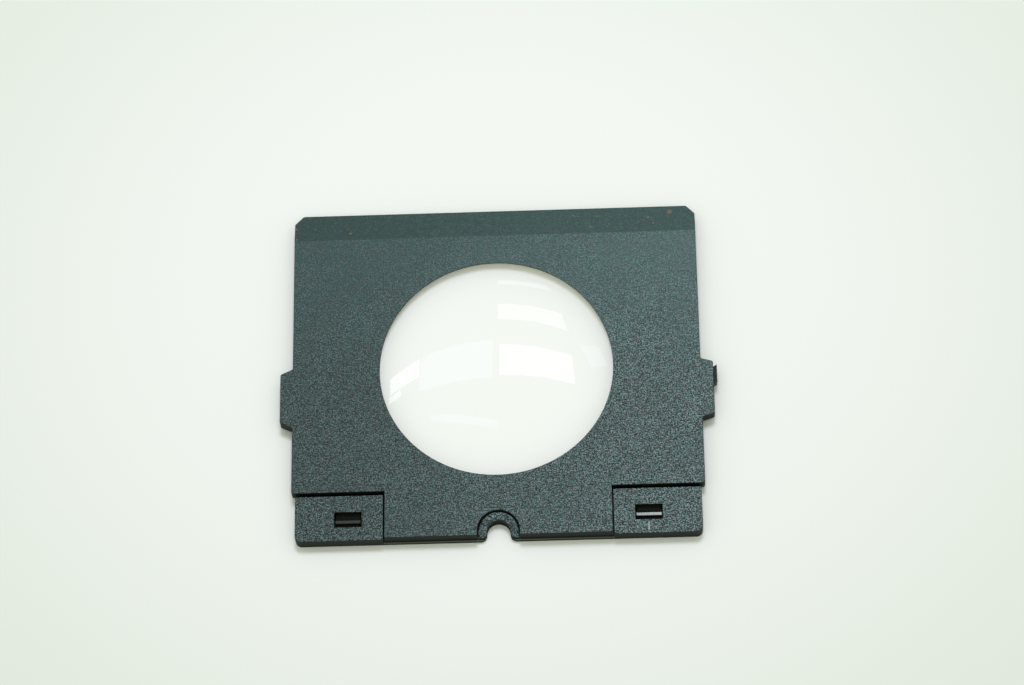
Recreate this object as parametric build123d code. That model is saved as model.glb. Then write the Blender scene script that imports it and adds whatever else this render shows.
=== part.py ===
from build123d import *
import math
import os

# Negative carrier for an enlarger: two moulded halves hinged at the rear, with a plano-convex
# condenser lens in the upper half. Millimetres, +Z up, +X to the right, +Y to the rear.
# The origin is on the lens axis, in the plane that the carrier rests on.

# ---- overall sizes
UPPER_HALF_WIDTH = 61.0
LOWER_HALF_WIDTH = 59.85
REAR_Y = 53.5
FRONT_LIP_Y = -54.45
UPPER_FRONT_Y = -53.95
TOP_Z = 4.6
FLOOR_Z = 1.0
SKIRT_Z = 1.1
WALL = 1.5
EDGE_RADIUS = 0.25

# ---- rear lead-in bevel and corners
BEVEL_START_Y = 44.15
BEVEL_DROP = 2.0
REAR_CHAMFER_X = 2.6
REAR_CHAMFER_Y = 3.0

# ---- lens and its seat
APERTURE_RADIUS = 34.9
LENS_RADIUS = 37.0
LENS_SPHERE_RADIUS = 75.0
LENS_FLAT_Z = 1.2
LENS_EDGE_Z = 3.0
LENS_BEVEL = 0.9
SEAT_CLEARANCE = 0.05
SEAT_RADIUS = 37.15
BOSS_RADIUS = 39.2
SNAP_RING_RADIUS = 37.05
SNAP_RING_Z = 1.6
SNAP_WIRE_RADIUS = 0.35
SNAP_GROOVE_RADIUS = 0.38
SNAP_RING_ARC = 335.0
MASK_OPENING_RADIUS = 36.0

# ---- film channel in the lower plate, and the shallow ejector marks under it
FILM_CHANNEL_WIDTH = 61.6
FILM_CHANNEL_DEPTH = 0.25
MARK_RADIUS = 2.0
MARK_DEPTH = 0.12
MARK_SPOTS = ((22.0, -44.0), (53.0, -30.0), (53.0, 0.0), (53.0, 30.0), (22.0, 44.0))

# ---- front corner pads of the lower plate
PAD_TOP_Z = 4.1
PAD_REAR_Y = -40.1
PAD_INNER_X = 33.85
PAD_CORNER_RADIUS = 2.0
CUT_REAR_Y = -39.2
CUT_INNER_X = 33.5
PAD_ROOF = 1.2

# ---- windows and catches
CATCH_X = 44.2
WINDOW_WIDTH = 8.1
WINDOW_REAR_Y = -45.32
WINDOW_FRONT_Y = -50.15
CHANNEL_WIDTH = 8.4
CHANNEL_FRONT_Y = -53.0
CATCH_WIDTH = 7.3
CATCH_FRONT_Y = -50.4
CATCH_TIP_Y = -38.45
CATCH_TOP_Z = 2.6
NOSE_REAR_Y = -47.7
NOSE_FRONT_Y = -48.8
NOSE_TOP_Z = 3.55
STRIKE_TOP_Z = 1.6
STRIKE_SLOT_TOP_Z = 2.95
COVER_THICKNESS = 0.6
COVER_WIDTH = 15.0
COVER_FRONT_Y = -53.2
COVER_REAR_Y = -41.0
COVER_GAP = 0.1
SCREW_X = 5.9
SCREW_Y = -47.1
SCREW_RADIUS = 0.8
SCREW_HEAD_RADIUS = 1.4
SCREW_LENGTH = 3.0
SPRING_THICKNESS = 0.2
SPRING_HEIGHT = 1.4
SPRING_BOW = 2.3
SPRING_HALF_CHORD = 3.2

# ---- half-ring round the finger notch
NOTCH_Y = -52.4
NOTCH_RADIUS = 3.45
NOTCH_CORNER_RADIUS = 1.9
RING_INNER_RADIUS = 3.6
RING_OUTER_RADIUS = 5.9
RING_CUT_RADIUS = 6.25
RING_REAR_Z = 3.85
RING_FRONT_Z = 2.05
RING_CORNER_RADIUS = 1.5

# ---- side tabs: rear root, front root and edge slant of each
TAB_HALF_WIDTH = 64.7
TAB_REAR_Y = 1.25
TAB_FRONT_Y = -17.9
TAB_SLANT = {"left": 24.0, "right": 16.5}
TAB_CORNER_RADIUS = 0.8

# ---- detent leaf in the right tab
LEAF_HEIGHT = 2.0
LEAF_THICKNESS = 0.35
LEAF_Z = 2.8
LEAF_CROWN_X = 65.8
LEAF_SLOT_X = 62.2
NIB_REAR_Y = -0.75
NIB_FRONT_Y = -6.7
NIB_CORNER_RADIUS = 0.8
LEAF_SLOT_REAR_Y = -0.35
LEAF_SLOT_FRONT_Y = -8.2
LEAF_POCKET_FRONT_Y = -13.0
LEAF_POCKET_X = 64.15
LEAF_SLOT_GAP = 0.1

# ---- hinge
HINGE_Y = 52.4
HINGE_Z = 1.1
KNUCKLE_RADIUS = 1.0
PIN_RADIUS = 0.45
PIN_BORE_RADIUS = 0.48
PIN_INNER_X = 36.0
PIN_OUTER_X = 50.0
EAR_INNER_X = 40.0
EAR_OUTER_X = 46.0
EAR_GAP = 0.15
FLOOR_REAR_Y = 50.5
CHEEK_INNER_X = 35.8
CHEEK_OUTER_X = 50.2
PIN_GROOVE_RADIUS = 0.6

# ---- ribs under the upper plate
POCKET_TOP_Z = 3.1
POCKET_REAR_Y = 44.0
RIB_WIDTH = 1.2
RIB_ANGLES = (0, 30, 60, 90, 120, 150)


def box(x0, x1, y0, y1, z0, z1):
    """A box given by its low and high coordinates."""
    solid = Box(x1 - x0, y1 - y0, z1 - z0, align=(Align.MIN, Align.MIN, Align.MIN))
    return Pos(x0, y0, z0) * solid


def prism(points, z0, z1):
    """A straight prism on a closed outline in plan."""
    face = make_face(Polyline(*points, close=True))
    return Pos(0, 0, z0) * extrude(face, amount=z1 - z0, dir=(0, 0, 1))


def disc(radius, z0, z1, x=0.0, y=0.0):
    """An upright cylinder from z0 to z1."""
    solid = Cylinder(radius, z1 - z0, align=(Align.CENTER, Align.CENTER, Align.MIN))
    return Pos(x, y, z0) * solid


def rod_x(radius, x0, x1, y, z):
    """A cylinder along X."""
    solid = Cylinder(radius, x1 - x0, align=(Align.CENTER, Align.CENTER, Align.MIN))
    return Pos(x0, y, z) * Rot(0, 90, 0) * solid


def side_profile(points, x0, x1):
    """A prism along X on a closed outline given as (y, z) points."""
    face = make_face(Polyline(*[(x0, y, z) for y, z in points], close=True))
    return extrude(face, amount=x1 - x0, dir=(1, 0, 0))


def other_side(solid):
    """The mirror image across the plane X = 0."""
    return mirror(solid, about=Plane.YZ)


def vertical_edges_at(solid, spots, tolerance=0.05):
    """The upright edges of a solid that stand at the given (x, y) spots."""
    found = ShapeList()
    for edge in solid.edges().filter_by(Axis.Z):
        middle = edge.center()
        for x, y in spots:
            if abs(middle.X - x) < tolerance and abs(middle.Y - y) < tolerance:
                found.append(edge)
    return found


def tab_outline(side):
    """Plan of one side tab, from inside the plate out to its flat end."""
    sign = -1 if side == "left" else 1
    reach = TAB_HALF_WIDTH - UPPER_HALF_WIDTH
    fall = reach * math.tan(math.radians(TAB_SLANT[side]))
    inside = UPPER_HALF_WIDTH - 2 * WALL
    points = [
        (inside, TAB_REAR_Y),
        (UPPER_HALF_WIDTH, TAB_REAR_Y),
        (TAB_HALF_WIDTH, TAB_REAR_Y - fall),
        (TAB_HALF_WIDTH, TAB_FRONT_Y + fall),
        (UPPER_HALF_WIDTH, TAB_FRONT_Y),
        (inside, TAB_FRONT_Y),
    ]
    return [(sign * x, y) for x, y in points]


def upper_blank():
    """The upper plate's outline as a solid slab: body, tabs, rounded corners."""
    outline = [
        (-UPPER_HALF_WIDTH, CUT_REAR_Y),
        (-CUT_INNER_X, CUT_REAR_Y),
        (-CUT_INNER_X, UPPER_FRONT_Y),
        (CUT_INNER_X, UPPER_FRONT_Y),
        (CUT_INNER_X, CUT_REAR_Y),
        (UPPER_HALF_WIDTH, CUT_REAR_Y),
        (UPPER_HALF_WIDTH, REAR_Y - REAR_CHAMFER_Y),
        (UPPER_HALF_WIDTH - REAR_CHAMFER_X, REAR_Y),
        (-UPPER_HALF_WIDTH + REAR_CHAMFER_X, REAR_Y),
        (-UPPER_HALF_WIDTH, REAR_Y - REAR_CHAMFER_Y),
    ]
    slab = prism(outline, SKIRT_Z, TOP_Z)
    for side in ("left", "right"):
        slab += prism(tab_outline(side), SKIRT_Z, TOP_Z)
    tab_spots = []
    for side in ("left", "right"):
        points = tab_outline(side)
        tab_spots += [points[1], points[2], points[3], points[4]]
    slab = fillet(vertical_edges_at(slab, tab_spots), TAB_CORNER_RADIUS)
    plate_spots = []
    for sign in (-1, 1):
        plate_spots.append((sign * UPPER_HALF_WIDTH, CUT_REAR_Y))
        plate_spots.append((sign * UPPER_HALF_WIDTH, REAR_Y - REAR_CHAMFER_Y))
        plate_spots.append((sign * (UPPER_HALF_WIDTH - REAR_CHAMFER_X), REAR_Y))
    slab = fillet(vertical_edges_at(slab, plate_spots), TAB_CORNER_RADIUS)
    slab -= rear_bevel_cutter()
    slab -= disc(RING_CUT_RADIUS, 0, TOP_Z + 1, y=NOTCH_Y)
    slab -= box(-RING_CUT_RADIUS, RING_CUT_RADIUS, UPPER_FRONT_Y - 1, NOTCH_Y, 0, TOP_Z + 1)
    return slab


def rear_bevel_cutter():
    """The wedge taken off the top towards the rear edge."""
    points = [
        (BEVEL_START_Y, TOP_Z),
        (REAR_Y + 1, TOP_Z - BEVEL_DROP * (REAR_Y + 1 - BEVEL_START_Y) / (REAR_Y - BEVEL_START_Y)),
        (REAR_Y + 1, TOP_Z + 1),
        (BEVEL_START_Y, TOP_Z + 1),
    ]
    return side_profile(points, -UPPER_HALF_WIDTH - 5, UPPER_HALF_WIDTH + 5)


def round_top_edges(slab, levels, radius):
    """Rounds the outer rim of the flat top faces at the given levels."""
    rims = ShapeList()
    for face in slab.faces().filter_by(GeomType.PLANE):
        flat = face.normal_at().Z > 0.999
        if flat and any(abs(face.center().Z - z) < 0.01 for z in levels):
            rims += face.outer_wire().edges()
    rims = ShapeList([e for e in rims if e.center().Y < BEVEL_START_Y - 0.01])
    return fillet(rims, radius)


def lens_seat():
    """Space cut for the lens: the bore, the domed seat, the bezel opening and the wire's groove."""
    dome_centre_z = LENS_EDGE_Z - math.sqrt(LENS_SPHERE_RADIUS**2 - LENS_RADIUS**2)
    dome = Pos(0, 0, dome_centre_z) * Sphere(LENS_SPHERE_RADIUS + SEAT_CLEARANCE)
    seat = dome & disc(SEAT_RADIUS, SKIRT_Z - 1, TOP_Z + 1)
    seat += disc(SEAT_RADIUS, SKIRT_Z - 1, LENS_EDGE_Z)
    seat += disc(APERTURE_RADIUS, SKIRT_Z - 1, TOP_Z + 1)
    groove = Pos(0, 0, SNAP_RING_Z) * Torus(SNAP_RING_RADIUS, SNAP_GROOVE_RADIUS)
    return seat + groove


def underside_pockets():
    """The cored-out space under the top skin, between the rim, the lens boss and the ribs."""
    inner = UPPER_HALF_WIDTH - WALL
    space = box(-inner, inner, CUT_REAR_Y + WALL, POCKET_REAR_Y, SKIRT_Z - 1, POCKET_TOP_Z)
    middle = CUT_INNER_X - WALL
    space += box(-middle, middle, UPPER_FRONT_Y + WALL, CUT_REAR_Y + 2 * WALL, SKIRT_Z - 1, POCKET_TOP_Z)
    space -= disc(BOSS_RADIUS, 0, TOP_Z)
    space -= disc(RING_CUT_RADIUS + WALL, 0, TOP_Z, y=NOTCH_Y)
    space -= box(UPPER_HALF_WIDTH - 2 * WALL, UPPER_HALF_WIDTH, TAB_FRONT_Y, TAB_REAR_Y, 0, TOP_Z)
    for angle in RIB_ANGLES:
        rib = Box(4 * UPPER_HALF_WIDTH, RIB_WIDTH, 2 * TOP_Z)
        space -= Rot(0, 0, angle) * rib
    return space


def strike_slots():
    """Openings in the front walls of the upper plate that the two catch bars hook into."""
    half = CHANNEL_WIDTH / 2
    slot = box(
        CATCH_X - half, CATCH_X + half,
        CUT_REAR_Y - 1, CUT_REAR_Y + WALL + 0.5,
        STRIKE_TOP_Z, STRIKE_SLOT_TOP_Z,
    )
    return slot + other_side(slot)


def leaf_slot():
    """Slot in the right tab for the detent leaf, open outwards, with a blind pocket in front."""
    z0 = LEAF_Z - LEAF_HEIGHT / 2 - LEAF_SLOT_GAP
    z1 = LEAF_Z + LEAF_HEIGHT / 2 + LEAF_SLOT_GAP
    slot = box(LEAF_SLOT_X, TAB_HALF_WIDTH + 2, LEAF_SLOT_FRONT_Y, LEAF_SLOT_REAR_Y, z0, z1)
    pocket = box(LEAF_SLOT_X, LEAF_POCKET_X, LEAF_POCKET_FRONT_Y, LEAF_SLOT_FRONT_Y, z0, z1)
    return slot + pocket


def hinge_cheeks():
    """The two pairs of knuckles of the upper plate, each side of the lower plate's ears."""
    cheeks = None
    spans = [(CHEEK_INNER_X, EAR_INNER_X - EAR_GAP), (EAR_OUTER_X + EAR_GAP, CHEEK_OUTER_X)]
    for x0, x1 in spans:
        knuckle = rod_x(KNUCKLE_RADIUS, x0, x1, HINGE_Y, HINGE_Z)
        knuckle += box(x0, x1, HINGE_Y - KNUCKLE_RADIUS, HINGE_Y + KNUCKLE_RADIUS, HINGE_Z, HINGE_Z + 1.2)
        cheeks = knuckle if cheeks is None else cheeks + knuckle
    return cheeks + other_side(cheeks)


def hinge_space():
    """Room for the ears and the bore and groove that each pin slides in through."""
    ear = box(
        EAR_INNER_X - EAR_GAP, EAR_OUTER_X + EAR_GAP,
        FLOOR_REAR_Y - 0.2, REAR_Y + 1,
        0, HINGE_Z + KNUCKLE_RADIUS + EAR_GAP,
    )
    ear += rod_x(PIN_BORE_RADIUS, PIN_INNER_X - 0.1, CHEEK_OUTER_X, HINGE_Y, HINGE_Z)
    ear += rod_x(PIN_GROOVE_RADIUS, CHEEK_OUTER_X, UPPER_HALF_WIDTH, HINGE_Y, HINGE_Z)
    return ear + other_side(ear)


def upper_plate():
    plate = upper_blank()
    plate = round_top_edges(plate, [TOP_Z], EDGE_RADIUS)
    plate -= underside_pockets()
    plate -= lens_seat()
    plate -= strike_slots()
    plate -= leaf_slot()
    plate += hinge_cheeks()
    plate -= hinge_space()
    return plate


def lower_floor():
    """The flat floor of the lower plate with its rounded front corners and chamfered rear ones."""
    outline = [
        (-LOWER_HALF_WIDTH, FRONT_LIP_Y),
        (LOWER_HALF_WIDTH, FRONT_LIP_Y),
        (LOWER_HALF_WIDTH, FLOOR_REAR_Y - REAR_CHAMFER_Y),
        (LOWER_HALF_WIDTH - REAR_CHAMFER_X, FLOOR_REAR_Y),
        (-LOWER_HALF_WIDTH + REAR_CHAMFER_X, FLOOR_REAR_Y),
        (-LOWER_HALF_WIDTH, FLOOR_REAR_Y - REAR_CHAMFER_Y),
    ]
    return prism(outline, 0, FLOOR_Z)


def pad():
    """The right front corner pad, solid."""
    return box(PAD_INNER_X, LOWER_HALF_WIDTH, FRONT_LIP_Y, PAD_REAR_Y, 0, PAD_TOP_Z)


def notch_ring():
    """The half-ring round the notch, with legs to the front and a top that slopes down forwards."""
    height = RING_REAR_Z + 1
    ring = disc(RING_OUTER_RADIUS, 0, height, y=NOTCH_Y)
    ring += box(-RING_OUTER_RADIUS, RING_OUTER_RADIUS, UPPER_FRONT_Y, NOTCH_Y, 0, height)
    ring &= box(-RING_OUTER_RADIUS, RING_OUTER_RADIUS, UPPER_FRONT_Y, 0, 0, height)
    rear_y = NOTCH_Y + RING_OUTER_RADIUS
    slope = [
        (UPPER_FRONT_Y - 1, RING_FRONT_Z - (RING_REAR_Z - RING_FRONT_Z) / (rear_y - UPPER_FRONT_Y)),
        (rear_y, RING_REAR_Z),
        (rear_y + 1, RING_REAR_Z),
        (rear_y + 1, height + 1),
        (UPPER_FRONT_Y - 1, height + 1),
    ]
    ring -= side_profile(slope, -RING_OUTER_RADIUS - 1, RING_OUTER_RADIUS + 1)
    ring -= disc(RING_INNER_RADIUS, 0, height, y=NOTCH_Y)
    ring -= box(-RING_INNER_RADIUS, RING_INNER_RADIUS, UPPER_FRONT_Y - 1, NOTCH_Y, 0, height)
    corners = [(sign * RING_INNER_RADIUS, UPPER_FRONT_Y) for sign in (-1, 1)]
    return fillet(vertical_edges_at(ring, corners), RING_CORNER_RADIUS)


def notch_cutter():
    """The through notch in the floor's front edge."""
    cutter = disc(NOTCH_RADIUS, -1, PAD_TOP_Z, y=NOTCH_Y)
    return cutter + box(-NOTCH_RADIUS, NOTCH_RADIUS, FRONT_LIP_Y - 1, NOTCH_Y, -1, PAD_TOP_Z)


def catch_space():
    """Channel, window, cover recess, screw pilots and coring of the right pad."""
    half = CHANNEL_WIDTH / 2
    x0 = CATCH_X - half
    x1 = CATCH_X + half
    roof_z = PAD_TOP_Z - PAD_ROOF
    space = box(x0, x1, CHANNEL_FRONT_Y, COVER_REAR_Y - 0.2, COVER_THICKNESS - 0.1, roof_z)
    space += box(x0, x1, COVER_REAR_Y - 0.3, PAD_REAR_Y + 1, FLOOR_Z, roof_z)
    space += box(
        CATCH_X - WINDOW_WIDTH / 2, CATCH_X + WINDOW_WIDTH / 2,
        WINDOW_FRONT_Y, WINDOW_REAR_Y,
        roof_z - 0.1, PAD_TOP_Z + 1,
    )
    space += box(
        CATCH_X - COVER_WIDTH / 2, CATCH_X + COVER_WIDTH / 2,
        COVER_FRONT_Y, COVER_REAR_Y,
        -1, COVER_THICKNESS,
    )
    for sign in (-1, 1):
        space += disc(SCREW_RADIUS, 0, SCREW_LENGTH, x=CATCH_X + sign * SCREW_X, y=SCREW_Y)
    coring_x0 = CATCH_X + COVER_WIDTH / 2 + WALL
    space += box(coring_x0, LOWER_HALF_WIDTH - WALL, COVER_FRONT_Y, COVER_REAR_Y, -1, roof_z)
    return space


def ejector_marks():
    """Round marks in the underside, in mirrored pairs."""
    marks = None
    for x, y in MARK_SPOTS:
        mark = disc(MARK_RADIUS, -1, MARK_DEPTH, x=x, y=y)
        marks = mark if marks is None else marks + mark
    return marks + other_side(marks)


def hinge_ear():
    """The right ear of the lower plate, with the hole that holds the pin."""
    ear = rod_x(KNUCKLE_RADIUS, EAR_INNER_X, EAR_OUTER_X, HINGE_Y, HINGE_Z)
    ear += box(EAR_INNER_X, EAR_OUTER_X, FLOOR_REAR_Y - 0.1, HINGE_Y, 0.1, HINGE_Z + 0.4)
    ear += box(EAR_INNER_X, EAR_OUTER_X, FLOOR_REAR_Y - 0.1, FLOOR_REAR_Y, 0, FLOOR_Z)
    return ear - rod_x(PIN_RADIUS, EAR_INNER_X - 1, EAR_OUTER_X + 1, HINGE_Y, HINGE_Z)


def lower_plate():
    right_pad = pad()
    plate = lower_floor() + right_pad + other_side(right_pad)
    corners = [(sign * LOWER_HALF_WIDTH, FRONT_LIP_Y) for sign in (-1, 1)]
    plate = fillet(vertical_edges_at(plate, corners), PAD_CORNER_RADIUS)
    plate = round_top_edges(plate, [PAD_TOP_Z], EDGE_RADIUS)
    plate -= notch_cutter()
    notch_corners = [(sign * NOTCH_RADIUS, FRONT_LIP_Y) for sign in (-1, 1)]
    plate = fillet(vertical_edges_at(plate, notch_corners), NOTCH_CORNER_RADIUS)
    plate += notch_ring() - notch_cutter()
    space = catch_space()
    plate -= space
    plate -= other_side(space)
    plate -= disc(MASK_OPENING_RADIUS, -1, FLOOR_Z + 1)
    plate -= ejector_marks()
    half_film = FILM_CHANNEL_WIDTH / 2
    channel_z = FLOOR_Z - FILM_CHANNEL_DEPTH
    plate -= box(-LOWER_HALF_WIDTH - 1, LOWER_HALF_WIDTH + 1, -half_film, half_film, channel_z, FLOOR_Z + 1)
    ear = hinge_ear()
    return plate + ear + other_side(ear)


def condenser_lens():
    """Plano-convex lens, flat side down, with a ground bevel round its flat side."""
    dome_centre_z = LENS_EDGE_Z - math.sqrt(LENS_SPHERE_RADIUS**2 - LENS_RADIUS**2)
    apex_z = dome_centre_z + LENS_SPHERE_RADIUS
    half_angle = math.asin(LENS_RADIUS / LENS_SPHERE_RADIUS) / 2
    on_arc = (
        LENS_SPHERE_RADIUS * math.sin(half_angle),
        0,
        dome_centre_z + LENS_SPHERE_RADIUS * math.cos(half_angle),
    )
    outline = Polyline(
        (0, 0, apex_z),
        (0, 0, LENS_FLAT_Z),
        (LENS_RADIUS - LENS_BEVEL, 0, LENS_FLAT_Z),
        (LENS_RADIUS, 0, LENS_FLAT_Z + LENS_BEVEL),
        (LENS_RADIUS, 0, LENS_EDGE_Z),
    )
    dome = ThreePointArc((LENS_RADIUS, 0, LENS_EDGE_Z), on_arc, (0, 0, apex_z))
    face = make_face(outline.edges() + dome.edges())
    return revolve(face, axis=Axis.Z)


def lens_snap_ring():
    """Round wire ring with a gap, sprung into the groove under the lens."""
    section = Pos(SNAP_RING_RADIUS, 0, SNAP_RING_Z) * Rot(90, 0, 0) * Circle(SNAP_WIRE_RADIUS)
    return Rot(0, 0, 102) * revolve(section, axis=Axis.Z, revolution_arc=SNAP_RING_ARC)


def catch():
    """The right catch: a flat bar with a nose in the window and a hook at its rear end."""
    low_z = COVER_THICKNESS + 0.15
    rear_low_z = FLOOR_Z + 0.15
    hook_z = STRIKE_TOP_Z + 0.1
    step_y = COVER_REAR_Y - 0.35
    bar = side_profile(
        [
            (CATCH_FRONT_Y, low_z),
            (step_y, low_z),
            (step_y, rear_low_z),
            (CUT_REAR_Y - 0.3, rear_low_z),
            (CUT_REAR_Y - 0.3, hook_z),
            (CATCH_TIP_Y, hook_z),
            (CATCH_TIP_Y, hook_z + 0.15),
            (CUT_REAR_Y - 0.5, CATCH_TOP_Z),
            (CATCH_FRONT_Y, CATCH_TOP_Z),
        ],
        CATCH_X - CATCH_WIDTH / 2,
        CATCH_X + CATCH_WIDTH / 2,
    )
    nose = side_profile(
        [
            (NOSE_FRONT_Y, CATCH_TOP_Z - 0.5),
            (NOSE_REAR_Y + 0.25, CATCH_TOP_Z - 0.5),
            (NOSE_REAR_Y, NOSE_TOP_Z - 0.1),
            (NOSE_REAR_Y - 0.1, NOSE_TOP_Z),
            (NOSE_FRONT_Y + 0.15, NOSE_TOP_Z),
            (NOSE_FRONT_Y, NOSE_TOP_Z - 0.15),
        ],
        CATCH_X - CATCH_WIDTH / 2,
        CATCH_X + CATCH_WIDTH / 2,
    )
    return bar + nose


def catch_spring():
    """Bowed leaf between the front of the right catch and the wall of its channel."""
    radius = (SPRING_HALF_CHORD**2 + SPRING_BOW**2) / (2 * SPRING_BOW)
    centre_y = CATCH_FRONT_Y - 0.1 - SPRING_BOW + radius
    mid_z = (COVER_THICKNESS + PAD_TOP_Z - PAD_ROOF) / 2
    z0 = mid_z - SPRING_HEIGHT / 2
    z1 = mid_z + SPRING_HEIGHT / 2
    band = disc(radius, z0, z1, x=CATCH_X, y=centre_y)
    band -= disc(radius - SPRING_THICKNESS, z0, z1, x=CATCH_X, y=centre_y)
    reach = SPRING_HALF_CHORD + 1
    return band & box(CATCH_X - reach, CATCH_X + reach, CHANNEL_FRONT_Y, CATCH_FRONT_Y - 0.1, z0, z1)


def catch_cover():
    """Thin plate under the right catch channel, with two countersunk holes."""
    half = COVER_WIDTH / 2 - COVER_GAP
    plate = box(
        CATCH_X - half, CATCH_X + half,
        COVER_FRONT_Y + COVER_GAP, COVER_REAR_Y - COVER_GAP,
        0.05, COVER_THICKNESS,
    )
    plate = fillet(plate.edges().filter_by(Axis.Z), 0.6)
    for sign in (-1, 1):
        head = Cone(SCREW_HEAD_RADIUS + 0.05, SCREW_RADIUS + 0.05, COVER_THICKNESS - 0.05)
        plate -= Pos(CATCH_X + sign * SCREW_X, SCREW_Y, 0.05 + (COVER_THICKNESS - 0.05) / 2) * head
    return plate


def catch_cover_screw(x):
    """Countersunk self-tapping screw with a cross recess, head down."""
    head_height = COVER_THICKNESS - 0.05
    head = Pos(x, SCREW_Y, 0.05 + head_height / 2) * Cone(SCREW_HEAD_RADIUS, SCREW_RADIUS, head_height)
    screw = head + disc(SCREW_RADIUS, COVER_THICKNESS - 0.01, SCREW_LENGTH, x=x, y=SCREW_Y)
    slot = box(x - 0.75, x + 0.75, SCREW_Y - 0.16, SCREW_Y + 0.16, 0, 0.45)
    slot += box(x - 0.16, x + 0.16, SCREW_Y - 0.75, SCREW_Y + 0.75, 0, 0.45)
    return screw - slot


def catch_cover_screws():
    """All four cover screws, as separate solids."""
    places = [side * (CATCH_X + sign * SCREW_X) for side in (-1, 1) for sign in (-1, 1)]
    return Compound(children=[catch_cover_screw(x) for x in places])


def hinge_pin():
    """The right hinge pin."""
    pin = rod_x(PIN_RADIUS, PIN_INNER_X, PIN_OUTER_X, HINGE_Y, HINGE_Z)
    return chamfer(pin.edges().filter_by(GeomType.CIRCLE), 0.1)


def detent_leaf():
    """Flat stamping: a solid nib that stands out of the tab, with a thin springy leg in the pocket."""
    nib_inner_x = LEAF_SLOT_X + 1.1
    leg_outer_x = LEAF_POCKET_X - 0.15
    leg_inner_x = leg_outer_x - LEAF_THICKNESS
    points = [
        (nib_inner_x, NIB_REAR_Y - 1.6),
        (LEAF_CROWN_X, NIB_REAR_Y),
        (LEAF_CROWN_X, NIB_FRONT_Y),
        (TAB_HALF_WIDTH - 0.3, NIB_FRONT_Y - 0.5),
        (leg_outer_x, LEAF_SLOT_FRONT_Y + 0.3),
        (leg_outer_x, LEAF_POCKET_FRONT_Y + 0.7),
        (leg_inner_x, LEAF_POCKET_FRONT_Y + 0.7),
        (leg_inner_x, LEAF_SLOT_FRONT_Y + 0.6),
        (nib_inner_x, NIB_FRONT_Y),
    ]
    leaf = prism(points, LEAF_Z - LEAF_HEIGHT / 2, LEAF_Z + LEAF_HEIGHT / 2)
    front_corner = vertical_edges_at(leaf, [(LEAF_CROWN_X, NIB_FRONT_Y)])
    return fillet(front_corner, NIB_CORNER_RADIUS)


def single(shape):
    """One bare solid out of a result that holds exactly one."""
    solids = shape.solids()
    if len(solids) != 1:
        raise ValueError(f"expected one solid, found {len(solids)}")
    return solids[0]


def main():
    right_catch = single(catch())
    right_spring = single(catch_spring())
    right_cover = single(catch_cover())
    right_pin = single(hinge_pin())
    nodes = {
        "upper_plate": single(upper_plate()),
        "lower_plate": single(lower_plate()),
        "condenser_lens": single(condenser_lens()),
        "lens_snap_ring": single(lens_snap_ring()),
        "right_catch": right_catch,
        "left_catch": other_side(right_catch),
        "right_catch_spring": right_spring,
        "left_catch_spring": other_side(right_spring),
        "right_catch_cover": right_cover,
        "left_catch_cover": other_side(right_cover),
        "catch_cover_screws": catch_cover_screws(),
        "right_hinge_pin": right_pin,
        "left_hinge_pin": other_side(right_pin),
        "detent_leaf": single(detent_leaf()),
    }
    os.makedirs("parts", exist_ok=True)
    for name, shape in nodes.items():
        export_step(shape, f"parts/{name}.step")
        print(name, "volume", round(shape.volume, 2), "mm3")


main()
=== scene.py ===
"""The looks of a negative carrier with a condenser lens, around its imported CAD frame.

Lengths are metres in the frame's axes: +X right, +Y to the rear hinge, +Z up, origin on the lens axis.
"""

import math

import bmesh
import bpy
from mathutils import Matrix, Vector


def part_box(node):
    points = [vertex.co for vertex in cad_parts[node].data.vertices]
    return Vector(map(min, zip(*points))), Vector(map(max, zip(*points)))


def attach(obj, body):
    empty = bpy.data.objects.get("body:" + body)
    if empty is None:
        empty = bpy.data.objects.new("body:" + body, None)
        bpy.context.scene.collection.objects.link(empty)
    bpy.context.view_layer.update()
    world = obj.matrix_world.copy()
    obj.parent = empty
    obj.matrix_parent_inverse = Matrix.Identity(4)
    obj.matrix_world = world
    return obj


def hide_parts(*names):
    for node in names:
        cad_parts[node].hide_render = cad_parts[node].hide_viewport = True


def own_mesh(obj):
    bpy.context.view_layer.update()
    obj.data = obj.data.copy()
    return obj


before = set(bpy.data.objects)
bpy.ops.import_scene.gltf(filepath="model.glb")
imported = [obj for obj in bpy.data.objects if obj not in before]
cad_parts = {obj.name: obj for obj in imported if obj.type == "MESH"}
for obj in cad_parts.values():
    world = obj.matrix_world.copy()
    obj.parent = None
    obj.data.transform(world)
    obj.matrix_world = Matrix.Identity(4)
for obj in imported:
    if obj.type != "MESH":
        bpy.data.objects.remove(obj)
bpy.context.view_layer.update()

MM = 0.001
SIDES = ("left", "right")

# ---------------------------------------------------------------- places on the part

lens_low, lens_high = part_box("condenser_lens")
upper_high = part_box("upper_plate")[1]
TOP_Z = upper_high.z
PAD_TOP_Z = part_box("lower_plate")[1].z
BEVEL_START_Y = upper_high.y - 9.35 * MM
BEVEL_DROP = 2.2 * MM
RING_HALF_WIDTH = 6 * MM
RING_REAR_Y = -46 * MM
LIP_Y = -54 * MM
LIP_LOW_Z = 0.9 * MM
LIP_HIGH_Z = 1.1 * MM
NOSE_FOOT_Z = 2.7 * MM

# ---------------------------------------------------------------- node helper


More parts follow.
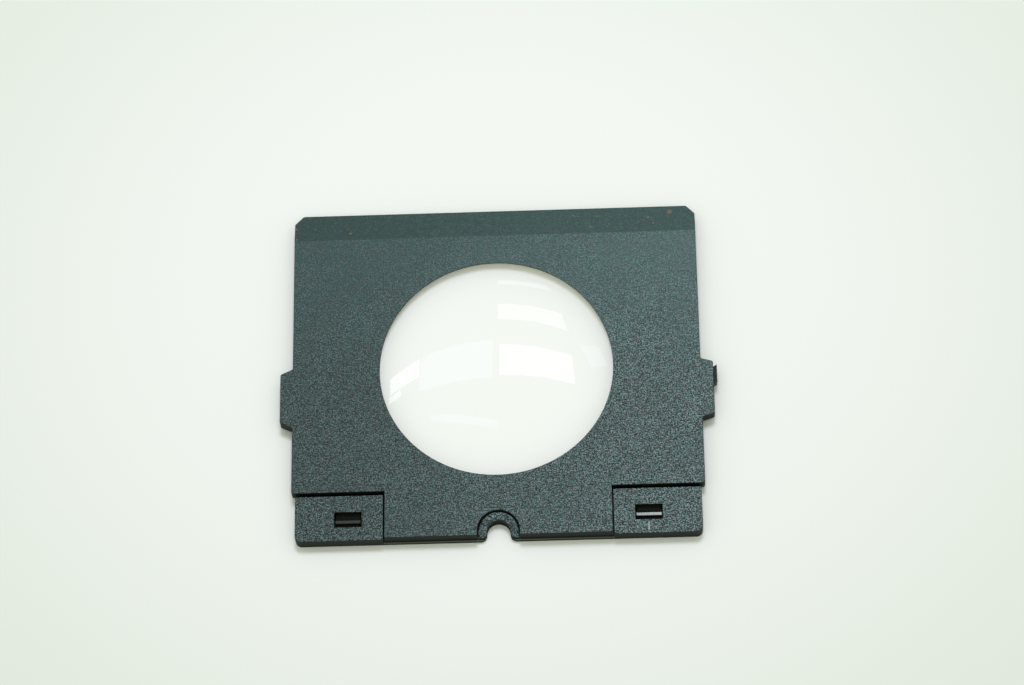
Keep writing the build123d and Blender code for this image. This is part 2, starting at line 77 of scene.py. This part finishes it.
class Nodes:
    """A small builder for one material's node tree."""

    def __init__(self, name):
        self.material = bpy.data.materials.new(name)
        self.material.use_nodes = True
        self.tree = self.material.node_tree
        self.tree.nodes.clear()
        self.output = self.tree.nodes.new("ShaderNodeOutputMaterial")
        self.shader = self.tree.nodes.new("ShaderNodeBsdfPrincipled")
        self.link(self.shader.outputs[0], self.output.inputs["Surface"])
        self.place = self.tree.nodes.new("ShaderNodeTexCoord").outputs["Object"]

    def link(self, source, socket):
        self.tree.links.new(source, socket)

    def put(self, socket, value):
        """Sets a socket to a number or colour, or links it to another node's output."""
        if isinstance(value, bpy.types.NodeSocket):
            self.link(value, socket)
        else:
            socket.default_value = value

    def set(self, **values):
        """Sets the shader's sockets; an underscore stands for a space."""
        for name, value in values.items():
            self.put(self.shader.inputs[name.replace("_", " ")], value)

    def math(self, operation, a, b):
        node = self.tree.nodes.new("ShaderNodeMath")
        node.operation = operation
        self.put(node.inputs[0], a)
        self.put(node.inputs[1], b)
        return node.outputs[0]

    def times(self, a, b):
        """The product of two values."""
        return self.math("MULTIPLY", a, b)

    def vector(self, operation, a, b=(0, 0, 0), output="Vector"):
        node = self.tree.nodes.new("ShaderNodeVectorMath")
        node.operation = operation
        self.put(node.inputs[0], a)
        self.put(node.inputs[1], b)
        return node.outputs[output]

    def range(self, value, low, high, to_low=0.0, to_high=1.0, smooth=True):
        """Runs from to_low where value is low to to_high where it is high, and stays level beyond."""
        node = self.tree.nodes.new("ShaderNodeMapRange")
        node.interpolation_type = "SMOOTHSTEP" if smooth else "LINEAR"
        for socket, setting in zip(node.inputs, (value, low, high, to_low, to_high)):
            self.put(socket, setting)
        return node.outputs[0]

    def noise(self, size, detail=2.0, roughness=0.5, stretch=(1, 1, 1)):
        """Noise whose features are about size metres across."""
        node = self.tree.nodes.new("ShaderNodeTexNoise")
        node.inputs["Scale"].default_value = 1.0 / size
        node.inputs["Detail"].default_value = detail
        node.inputs["Roughness"].default_value = roughness
        self.put(node.inputs["Vector"], self.vector("MULTIPLY", self.place, stretch))
        return node.outputs["Fac"]

    def mix(self, factor, a, b):
        node = self.tree.nodes.new("ShaderNodeMix")
        node.data_type = "RGBA"
        self.put(node.inputs["Factor"], factor)
        self.put(node.inputs["A"], a)
        self.put(node.inputs["B"], b)
        return node.outputs["Result"]

    def bump(self, height, distance, strength):
        node = self.tree.nodes.new("ShaderNodeBump")
        node.inputs["Distance"].default_value = distance
        node.inputs["Strength"].default_value = strength
        self.put(node.inputs["Height"], height)
        return node.outputs["Normal"]

    def axes(self):
        """The x, y and z of the point shaded."""
        node = self.tree.nodes.new("ShaderNodeSeparateXYZ")
        self.link(self.place, node.inputs[0])
        return node.outputs[0], node.outputs[1], node.outputs[2]

    def spots(self, places):
        """1 inside each of the round spots given as (x, y, radius), in metres, seen from above."""
        flat = self.vector("MULTIPLY", self.place, (1, 1, 0))
        total = 0.0
        for x, y, radius in places:
            far = self.vector("DISTANCE", flat, (x, y, 0), output="Value")
            total = self.math("MAXIMUM", total, self.range(far, 1.2 * radius, 0.6 * radius))
        return total

    def band(self, value, low, high, soft):
        """1 where value lies between low and high, with soft ends."""
        rise = self.range(value, low - soft, low + soft)
        fall = self.range(value, high + soft, high - soft)
        return self.times(rise, fall)


# ---------------------------------------------------------------- materials

TOP_DARK = (0.0008, 0.003, 0.003, 1)
TOP_MEAN = (0.037, 0.077, 0.079, 1)
TOP_LIGHT = (0.195, 0.310, 0.325, 1)
BEVEL_TONE = (0.026, 0.050, 0.050, 1)
COOL_GLINT = (0.74, 1.06, 1.00, 1)
WARM_GLINT = (1.40, 0.93, 1.03, 1)
# painted shade: the walls are coloured far darker than the tops to stand for the shade on them
WALL_SHADE_TONE = (0.006, 0.009, 0.005, 1)
INSIDE_TONE = (0.016, 0.020, 0.018, 1)
# painted highlight on the thin ledge along the front
LIP_HIGHLIGHT_TONE = (0.13, 0.16, 0.13, 1)
STAIN = (0.22, 0.13, 0.06, 1)
SCUFF = (0.62, 0.68, 0.66, 1)
NOSE_TONE = (0.010, 0.013, 0.014, 1)
HAIRLINE_TONE = (0.04, 0.045, 0.045, 1)
# painted shade on the catch bars, for the dark pocket behind the noses
BAR_SHADE_TONE = (0.008, 0.010, 0.008, 1)
FLUFF_TONE = (0.04, 0.045, 0.04, 1)
BLACKED = (0.006, 0.012, 0.011, 1)
WORN = (0.10, 0.12, 0.12, 1)
TARNISH = (0.1, 0.09, 0.08, 1)
GROUND_TONE = (0.80, 0.80, 0.66, 1)
PLASTIC_IOR = 1.5
GLASS_IOR = 1.52
GRAIN = 0.46 * MM


def eroded_plastic(name, glint_contrast_left=0.72, scuffs=(), sink_lines=()):
    """Black moulded plastic with a spark-eroded grain, with painted glints in its pale specks that are
    strongest at the front right, and a painted sheen that pales it to the right and the rear.

    A scuff is its low and high corners (x, y), and a sink line is (x, lowest y, highest y).
    """
    n = Nodes(name)
    x, y, _ = n.axes()
    coarse = n.noise(GRAIN, detail=1.0)
    fine = n.noise(0.5 * GRAIN, detail=1.0)
    wide = n.noise(2.3 * GRAIN, detail=1.0)
    grain = n.math("ADD", n.times(coarse, 0.48), n.times(fine, 0.36))
    grain = n.math("ADD", grain, n.times(wide, 0.16))
    # the specks are the grain's own texture, with the grain's glints painted into their pale end
    speck = n.range(grain, 0.415, 0.60, smooth=False)
    speckled = n.mix(n.math("POWER", speck, 1.9), TOP_DARK, TOP_LIGHT)

    # painted glints: the specks get full contrast at the front right and less to the rear and left, where
    # fewer glints would catch the lights
    glint_contrast = n.range(y, 45 * MM, -20 * MM, 0.30, 1.0)
    glint_contrast = n.times(glint_contrast, n.range(x, -60 * MM, 50 * MM, glint_contrast_left, 1.0))
    glint_contrast = n.math("ADD", glint_contrast, n.range(n.noise(14 * MM), 0.35, 0.65, -0.06, 0.06))
    colour = n.mix(glint_contrast, TOP_MEAN, speckled)
    cloud = n.range(n.noise(16 * MM, detail=2.0), 0.35, 0.65, 0.0, 0.16)
    colour = n.mix(cloud, colour, BEVEL_TONE)
    # painted sheen: the colour pales to the right and to the rear, where the lights' sheen falls on the top
    painted_sheen_right = n.range(x, -60 * MM, 60 * MM, 0.71, 1.03)
    painted_sheen_rear = n.range(y, -20 * MM, 40 * MM, 1.0, 1.3)
    colour = n.vector("MULTIPLY", colour, n.times(painted_sheen_right, painted_sheen_rear))
    glint = n.range(n.noise(0.6 * GRAIN, detail=0.0), 0.40, 0.60)
    colour = n.vector("MULTIPLY", colour, n.mix(glint, COOL_GLINT, WARM_GLINT))
    for low, high in scuffs:
        inside = n.times(n.band(x, low[0], high[0], 0.18 * MM), n.band(y, low[1], high[1], 0.5 * MM))
        broken = n.times(inside, n.range(n.noise(0.5 * MM, detail=2.0), 0.30, 0.50))
        colour = n.mix(n.times(broken, 0.5), colour, SCUFF)
    for line_x, low_y, high_y in sink_lines:
        across = n.band(x, line_x - 0.12 * MM, line_x + 0.12 * MM, 0.08 * MM)
        line = n.times(across, n.band(y, low_y, high_y, 0.3 * MM))
        colour = n.mix(n.times(line, 0.45), colour, TOP_DARK)
    n.set(
        Base_Color=colour,
        Roughness=0.40,
        Specular_IOR_Level=0.22,
        Normal=n.bump(grain, 0.06 * MM, 0.9),
        IOR=PLASTIC_IOR,
    )
    return n.material


def bevel_plastic(name, stains):
    """The smoother moulded slope at the rear, with a few rust-brown specks and a painted sheen that pales
    it to the right.
    """
    n = Nodes(name)
    x, _, _ = n.axes()
    wave = n.noise(1.6 * MM, detail=2.0)
    fine = n.noise(0.5 * MM, detail=1.0)
    colour = n.mix(n.range(wave, 0.3, 0.7, 0.0, 0.35), BEVEL_TONE, TOP_MEAN)
    colour = n.mix(n.range(fine, 0.5, 0.75, 0.0, 0.12), colour, TOP_LIGHT)
    # painted sheen: paler to the right, where the lights' sheen falls
    colour = n.vector("MULTIPLY", colour, n.range(x, -60 * MM, 30 * MM, 0.96, 1.28))
    colour = n.mix(n.times(n.spots(stains), 0.6), colour, STAIN)
    n.set(
        Base_Color=colour,
        Roughness=0.45,
        Specular_IOR_Level=0.25,
        Normal=n.bump(fine, 0.02 * MM, 0.4),
        IOR=PLASTIC_IOR,
    )
    return n.material


def wall_plastic(name, tone, roughness, gloss, lip=False):
    """Black moulded plastic on walls and inner faces in the tone given, which on the walls is a painted
    shade; lip paints a highlight on the thin ledge along the front.
    """
    n = Nodes(name)
    _, y, z = n.axes()
    drag = n.noise(0.5 * MM, detail=2.0, stretch=(1, 1, 0.2))
    dust = n.noise(0.7 * MM, detail=4.0, roughness=0.7)
    colour = n.mix(n.range(dust, 0.62, 0.74, 0.0, 0.35), tone, TOP_MEAN)
    # painted highlight along the front ledge's top, where its edge catches the light
    if lip:
        forward = n.range(y, LIP_Y, LIP_Y - 0.2 * MM)
        ledge_highlight = n.times(forward, n.band(z, LIP_LOW_Z, LIP_HIGH_Z, 0.05 * MM))
        colour = n.mix(ledge_highlight, colour, LIP_HIGHLIGHT_TONE)
    n.set(
        Base_Color=colour,
        Roughness=roughness,
        Specular_IOR_Level=gloss,
        Normal=n.bump(drag, 0.02 * MM, 0.5),
        IOR=PLASTIC_IOR,
    )
    return n.material


def painted_shade_black(name):
    """Dull near-black on the catch bars, a painted shade standing for the dark pocket behind the noses,
    with a little fluff on them.
    """
    n = Nodes(name)
    fluff = n.noise(0.4 * MM, detail=3.0)
    n.set(
        Base_Color=n.mix(n.range(fluff, 0.6, 0.75, 0.0, 0.3), BAR_SHADE_TONE, FLUFF_TONE),
        Roughness=0.9,
        Specular_IOR_Level=0.05,
    )
    return n.material


def smooth_plastic(name):
    """Glossy acetal with faint flow waves and fine hairlines."""
    n = Nodes(name)
    wave = n.noise(2.5 * MM, detail=1.0)
    hair = n.noise(0.15 * MM, detail=2.0, stretch=(0.15, 1, 1))
    n.set(
        Base_Color=n.mix(n.range(hair, 0.55, 0.75, 0.0, 0.2), NOSE_TONE, HAIRLINE_TONE),
        Roughness=n.range(hair, 0.3, 0.8, 0.06, 0.14),
        Normal=n.bump(n.math("ADD", wave, n.times(hair, 0.05)), 0.008 * MM, 0.4),
        IOR=1.55,
    )
    return n.material


def metal(name, colour, roughness, stretch=(1, 1, 1)):
    """Steel with a little tarnish; a stretch below 1 draws its lines out along that axis."""
    n = Nodes(name)
    lines = n.noise(0.12 * MM, detail=3.0, stretch=stretch)
    cloud = n.noise(1.8 * MM, detail=3.0)
    n.set(
        Base_Color=n.mix(n.range(cloud, 0.5, 0.75, 0.0, 0.4), colour, TARNISH),
        Metallic=1.0,
        Roughness=n.range(lines, 0.3, 0.7, roughness * 0.8, roughness * 1.25),
        Normal=n.bump(lines, 0.006 * MM, 0.6),
    )
    return n.material


def blackened_metal(name, roughness=0.38, metallic=0.6):
    """Black oxide over steel, worn brighter in small flecks."""
    n = Nodes(name)
    lines = n.noise(0.14 * MM, detail=3.0, stretch=(1, 0.2, 1))
    flecks = n.noise(0.35 * MM, detail=4.0, roughness=0.7)
    n.set(
        Base_Color=n.mix(n.range(flecks, 0.60, 0.72, 0.0, 0.6), BLACKED, WORN),
        Metallic=metallic,
        Specular_IOR_Level=0.2,
        Roughness=n.range(lines, 0.3, 0.7, roughness * 0.8, roughness * 1.3),
        Normal=n.bump(n.math("ADD", lines, flecks), 0.006 * MM, 0.6),
    )
    return n.material


def ground_glass(name):
    """The finely ground edge of the lens, where the clear glass turns pale and dull."""
    n = Nodes(name)
    n.set(
        Base_Color=GROUND_TONE,
        Transmission_Weight=0.45,
        Roughness=0.55,
        IOR=GLASS_IOR,
    )
    return n.material


def optical_glass(name, mirrored=1.0):
    """Clear crown glass; mirrored is how much of the plain glass's reflection a coating leaves."""
    n = Nodes(name)
    n.set(
        Base_Color=(1.0, 1.0, 1.0, 1),
        Transmission_Weight=1.0,
        Roughness=0.0,
        IOR=GLASS_IOR,
        Specular_Tint=(mirrored, mirrored, mirrored, 1),
    )
    return n.material


# ---------------------------------------------------------------- assigning looks to the frame's parts


def paint(node, materials, choose=None):
    """Gives a CAD node its materials; choose(centre, normal) picks one of them for each face."""
    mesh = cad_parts[node].data
    mesh.materials.clear()
    for material in materials:
        mesh.materials.append(material)
    for face in mesh.polygons:
        face.material_index = choose(face.center, face.normal) if choose else 0


def upper_face(centre, normal):
    """0 the grained top, 1 the rear slope, 2 the walls, 3 the cored underside."""
    if centre.y > BEVEL_START_Y - 0.02 * MM and normal.z > 0.9 and centre.z > TOP_Z - BEVEL_DROP:
        return 1
    if normal.z > 0.8 and centre.z > TOP_Z - 0.3 * MM:
        return 0
    return 3 if normal.z < -0.8 else 2


def lower_face(centre, normal):
    """0 the grained tops of the pads and the half-ring, 1 the walls, 2 the inner face and the underside."""
    pad = centre.z > PAD_TOP_Z - 0.3 * MM
    ring = abs(centre.x) < RING_HALF_WIDTH and centre.y < RING_REAR_Y and centre.z > 2 * MM
    if normal.z > 0.8 and (pad or ring):
        return 0
    return 2 if abs(normal.z) > 0.8 else 1


def catch_face(centre, normal):
    """0 the polished nose, 1 the bar beneath, in painted shade."""
    return 0 if centre.z > NOSE_FOOT_Z else 1


def lens_face(normal):
    """0 the dome, 1 the coated flat side, 2 the ground edge."""
    if normal.z < -0.9:
        return 1
    return 2 if normal.z < 0.5 else 0


# rust-brown specks on the slope: x, y and radius, in metres
BEVEL_STAINS = (
    (-0.0440, 0.0466, 0.00045), (-0.0605, 0.0488, 0.00040), (-0.0603, 0.0448, 0.00035),
    (0.0240, 0.0510, 0.00030), (0.0292, 0.0465, 0.00042), (0.0350, 0.0474, 0.00030),
    (0.0468, 0.0495, 0.00040), (0.0483, 0.0472, 0.00035), (0.0534, 0.0514, 0.00085),
)

upper_top = eroded_plastic("upper_top")
upper_slope = bevel_plastic("upper_slope", BEVEL_STAINS)
# the walls' near-black tone is painted shade
upper_wall = wall_plastic("upper_wall", WALL_SHADE_TONE, 0.6, 0.22)
upper_inside = wall_plastic("upper_inside", INSIDE_TONE, 0.42, 0.4)
lower_top = eroded_plastic(
    "lower_top",
    glint_contrast_left=0.9,
    scuffs=(((0.04385, -0.0536), (0.0443, -0.0508)),),
    sink_lines=((-0.0483, -0.0545, -0.0400), (-0.0399, -0.0545, -0.0400)),
)
lower_wall = wall_plastic("lower_wall", WALL_SHADE_TONE, 0.6, 0.22)
# the inner faces carry the painted highlight on the front ledge
lower_inside = wall_plastic("lower_inside", INSIDE_TONE, 0.42, 0.4, lip=True)
nose_plastic = smooth_plastic("nose_plastic")
bar_shade_plastic = painted_shade_black("bar_shade_plastic")
wire_steel = metal("wire_steel", (0.55, 0.55, 0.54, 1), 0.25)
strip_steel = metal("strip_steel", (0.50, 0.50, 0.50, 1), 0.30, stretch=(0.15, 1, 1))
pin_steel = metal("pin_steel", (0.62, 0.62, 0.61, 1), 0.22, stretch=(1, 0.15, 1))
cover_black = blackened_metal("cover_black")
screw_black = blackened_metal("screw_black", 0.30)
leaf_black = blackened_metal("leaf_black", 0.42, 0.0)

paint("upper_plate", (upper_top, upper_slope, upper_wall, upper_inside), upper_face)
paint("lower_plate", (lower_top, lower_wall, lower_inside), lower_face)
for side in SIDES:
    paint(side + "_catch", (nose_plastic, bar_shade_plastic), catch_face)
    paint(side + "_catch_spring", (strip_steel,))
    paint(side + "_catch_cover", (cover_black,))
    paint(side + "_hinge_pin", (pin_steel,))
paint("lens_snap_ring", (wire_steel,))
paint("catch_cover_screws", (screw_black,))
paint("detent_leaf", (leaf_black,))


# ---------------------------------------------------------------- the lens, as a fine mesh


DOME_RADIUS = 75.0 * MM
LENS_BEVEL = 0.9 * MM
LENS_EDGE_BREAK = 0.12 * MM
DOME_STEPS = 96
FLAT_STEPS = 12


def lens_profile():
    """Half section of the lens, (radius, height) from the dome's top to the middle of the flat side."""
    rim = lens_high.x
    dome_centre = lens_high.z - DOME_RADIUS
    rim_angle = math.asin((rim - 0.7 * LENS_EDGE_BREAK) / DOME_RADIUS)
    points = []
    for step in range(DOME_STEPS + 1):
        angle = rim_angle * step / DOME_STEPS
        points.append((DOME_RADIUS * math.sin(angle), dome_centre + DOME_RADIUS * math.cos(angle)))
    points.append((rim, points[-1][1] - LENS_EDGE_BREAK))
    points.append((rim, lens_low.z + LENS_BEVEL))
    points.append((rim - LENS_BEVEL, lens_low.z))
    for step in range(FLAT_STEPS - 1, -1, -1):
        points.append((rim * step / FLAT_STEPS, lens_low.z))
    return points


def revolved(name, profile, segments):
    """A closed mesh turned round Z from a half section whose ends lie on the axis."""
    mesh = bpy.data.meshes.new(name)
    vertices = [(0, 0, profile[0][1])]
    rings = profile[1:-1]
    for radius, height in rings:
        for k in range(segments):
            turn = 2 * math.pi * k / segments
            vertices.append((radius * math.cos(turn), radius * math.sin(turn), height))
    vertices.append((0, 0, profile[-1][1]))
    last = len(vertices) - 1
    faces = []
    for k in range(segments):
        after = (k + 1) % segments
        faces.append((0, 1 + k, 1 + after))
        for ring in range(len(rings) - 1):
            inner = 1 + ring * segments
            outer = inner + segments
            faces.append((inner + k, outer + k, outer + after, inner + after))
        end = 1 + (len(rings) - 1) * segments
        faces.append((end + k, last, end + after))
    mesh.from_pydata(vertices, [], faces)
    mesh.update()
    obj = bpy.data.objects.new(name, mesh)
    bpy.context.scene.collection.objects.link(obj)
    return obj


def shade_by_angle(obj, degrees):
    """Smooth shading that stays crisp over edges sharper than the angle."""
    mesh = obj.data
    work = bmesh.new()
    work.from_mesh(mesh)
    bmesh.ops.recalc_face_normals(work, faces=work.faces)
    for face in work.faces:
        face.smooth = True
    for edge in work.edges:
        if len(edge.link_faces) == 2:
            edge.smooth = edge.calc_face_angle(0.0) < math.radians(degrees)
    work.to_mesh(mesh)
    work.free()


lens = revolved("lens_glass", lens_profile(), 256)
shade_by_angle(lens, 12)
lens.data.materials.append(optical_glass("lens_glass"))
lens.data.materials.append(optical_glass("lens_glass_coated", 0.12))
lens.data.materials.append(ground_glass("lens_ground_edge"))
for face in lens.data.polygons:
    face.material_index = lens_face(face.normal)
lens.visible_shadow = False
lens.visible_diffuse = False
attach(lens, "cover")
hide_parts("condenser_lens")


# ---------------------------------------------------------------- the catch springs


def bowed_strip(side):
    """A copy of the CAD spring, with a mesh of its own, standing in for the hidden CAD node."""
    node = side + "_catch_spring"
    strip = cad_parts[node].copy()
    strip.data = strip.data.copy()
    strip.name = side + "_bowed_strip"
    bpy.context.scene.collection.objects.link(strip)
    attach(strip, "base")
    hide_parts(node)
    low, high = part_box(node)
    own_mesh(strip)


for side in SIDES:
    bowed_strip(side)


# ---------------------------------------------------------------- floor, room and lights


PAPER = (0.826, 0.845, 0.836, 1)
PAPER_SHADED_FAR = (0.718, 0.752, 0.718, 1)
PAPER_LIT = (0.860, 0.874, 0.870, 1)
RIM_GLOW = (1.0, 0.97, 0.42, 1)


def paper():
    """Pale paper with painted light: a painted pool of light under the lens, a painted warm glow under the
    far part of the lens's rim, and painted shade darkening it away from the carrier.
    """
    n = Nodes("floor_paper")
    x, y, _ = n.axes()
    radius = n.vector("LENGTH", n.place, output="Value")
    # painted pool of light on the paper under the lens
    under_lens = n.range(radius, 36.5 * MM, 34.5 * MM)
    # painted glow: emission lifts the shade under the far rim of the lens with a warm light
    rim = n.times(n.range(radius, 31 * MM, 35 * MM), n.range(radius, 37 * MM, 36.5 * MM))
    rim = n.times(rim, n.range(y, 5 * MM, 28 * MM))
    rim = n.times(rim, n.range(x, -30 * MM, 15 * MM, 0.35, 1.0))
    # painted shade: the paper darkens with distance from the carrier, as the light falls off
    flat = n.vector("MULTIPLY", n.place, (1, 1.15, 0))
    far = n.vector("DISTANCE", flat, (0, 0.02, 0), output="Value")
    painted_falloff = n.range(far, 0.07, 0.22)
    n.set(
        Base_Color=n.mix(under_lens, n.mix(painted_falloff, PAPER, PAPER_SHADED_FAR), PAPER_LIT),
        Emission_Color=RIM_GLOW,
        Emission_Strength=n.times(rim, 0.08),
        Roughness=0.85,
        Specular_IOR_Level=0.2,
    )
    return n.material


def floor():
    """A wide sheet of paper just under the carrier."""
    half = 6.0
    corners = [(-half, -half, 0), (half, -half, 0), (half, half, 0), (-half, half, 0)]
    mesh = bpy.data.meshes.new("floor")
    mesh.from_pydata(corners, [], [(0, 1, 2, 3)])
    mesh.materials.append(paper())
    obj = bpy.data.objects.new("floor", mesh)
    bpy.context.scene.collection.objects.link(obj)
    obj.location.z = -0.02 * MM


CEILING = 2.0
WHITE = (1.0, 1.0, 0.98)
BLUE = (0.62, 0.55, 1.0)
KEY_TINT = (0.86, 0.86, 1.0)
NOSE_TINT = (0.90, 1.0, 0.98)
ROOM_TINT = (0.957, 1.0, 0.85)
HORIZON = 0.22


def ceiling_light(name, x, y, width, depth, radiance, colour, turn=0.0, height=1.0):
    """A flat light facing down; its place and size are in units of the ceiling's height."""
    light = bpy.data.lights.new(name, "AREA")
    light.shape = "RECTANGLE"
    light.size = width * CEILING
    light.size_y = depth * CEILING
    light.energy = 4 * radiance * light.size * light.size_y
    light.color = colour
    obj = bpy.data.objects.new(name, light)
    obj.location = (x * CEILING, y * CEILING, height * CEILING)
    obj.rotation_euler.z = math.radians(turn)
    bpy.context.scene.collection.objects.link(obj)
    return obj


def card(name, x0, x1, y0, y1, radiance, colour, turn=0.0):
    """A ceiling light that only shows in reflections."""
    obj = ceiling_light(name, (x0 + x1) / 2, (y0 + y1) / 2, x1 - x0, y1 - y0, radiance, colour, turn)
    obj.visible_diffuse = False
    obj.visible_transmission = False
    return obj


def reach(lights, name, objects):
    """Lets some lights reach only the given objects."""
    group = bpy.data.collections.new(name)
    for obj in objects:
        group.objects.link(obj)
    for light in lights:
        light.light_linking.receiver_collection = group


def room(strength, tint):
    """A pale room, brighter overhead than near the horizon."""
    world = bpy.data.worlds.new("room")
    world.use_nodes = True
    tree = world.node_tree
    tree.nodes.clear()
    out = tree.nodes.new("ShaderNodeOutputWorld")
    back = tree.nodes.new("ShaderNodeBackground")
    coords = tree.nodes.new("ShaderNodeTexCoord")
    split = tree.nodes.new("ShaderNodeSeparateXYZ")
    ramp = tree.nodes.new("ShaderNodeValToRGB")
    tree.links.new(coords.outputs["Generated"], split.inputs[0])
    tree.links.new(split.outputs[2], ramp.inputs[0])
    tree.links.new(ramp.outputs[0], back.inputs["Color"])
    tree.links.new(back.outputs[0], out.inputs[0])
    low, high = ramp.color_ramp.elements
    low.position = 0.0
    low.color = [HORIZON * part for part in tint] + [1]
    high.position = 0.75
    high.color = [*tint, 1]
    back.inputs["Strength"].default_value = strength
    bpy.context.scene.world = world


floor()
room(0.89, ROOM_TINT)
key = ceiling_light("key", 0.04, 0.50, 0.36, 0.32, 14.4, KEY_TINT, height=1.05)
key.visible_glossy = False
key.visible_transmission = False

# cards seen only in the lens; the bluish ones stand for second reflections off its coated side
in_lens = [
    card("card_near", 0.0, 0.70, 0.27, 0.60, 1.75, WHITE),
    card("card_middle", -0.02, 0.72, 1.00, 1.38, 1.3, WHITE),
    card("card_far", -0.05, 0.78, 2.30, 2.68, 0.8, WHITE),
    card("card_left_window", -1.32, -0.80, 0.39, 0.62, 2.2, WHITE, 6),
    card("card_left_window_low", -1.34, -1.08, 0.27, 0.355, 2.0, WHITE, 6),
    card("ghost_near", -0.78, -0.06, 0.25, 0.66, 1.0, BLUE),
    card("ghost_middle", -0.66, -0.02, -0.13, -0.06, 0.8, BLUE, -11),
    card("ghost_left_window", 0.88, 1.28, 0.62, 0.92, 0.9, BLUE, 25),
]
# a card for the right catch's pale nose, and one for all that is not a catch
on_nose = [card("nose_glow", 0.02, 0.72, 0.25, 0.65, 8.5, NOSE_TINT)]
on_plastic = [card("plastic_glow", 0.02, 0.72, 0.25, 0.65, 3.0, WHITE)]
right_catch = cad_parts["right_catch"]
all_but_catches = [obj for name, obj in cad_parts.items() if name not in ("left_catch", "right_catch")]
reach(in_lens, "reach_lens", [lens])
reach(on_nose, "reach_right_nose", [right_catch])
reach(on_plastic, "reach_plastic", all_but_catches)


# ---------------------------------------------------------------- camera


FOCAL_LENGTH_MM = 124.45
TIP_DEGREES = -25.40
LEAN_DEGREES = 5.15
SPIN_DEGREES = -3.87
CAMERA_FROM_TOP = Vector((4.70 * MM, 7.40 * MM, 1.058))


def camera():
    """A long lens above the front edge, tipped forwards and a little askew."""
    tip = Matrix.Rotation(math.radians(TIP_DEGREES), 3, "X")
    lean = Matrix.Rotation(math.radians(LEAN_DEGREES), 3, "Z")
    spin = Matrix.Rotation(math.radians(SPIN_DEGREES), 3, "Z")
    turn = (lean @ tip @ spin).transposed()
    data = bpy.data.cameras.new("camera")
    data.sensor_width = 36.0
    data.lens = FOCAL_LENGTH_MM
    data.clip_start = 0.05
    data.clip_end = 50.0
    obj = bpy.data.objects.new("camera", data)
    place = turn @ CAMERA_FROM_TOP + Vector((0, 0, TOP_Z))
    obj.matrix_world = Matrix.Translation(place) @ turn.to_4x4()
    bpy.context.scene.collection.objects.link(obj)
    bpy.context.scene.camera = obj


camera()
bpy.context.scene.view_settings.view_transform = "Standard"
bpy.context.scene.view_settings.look = "None"
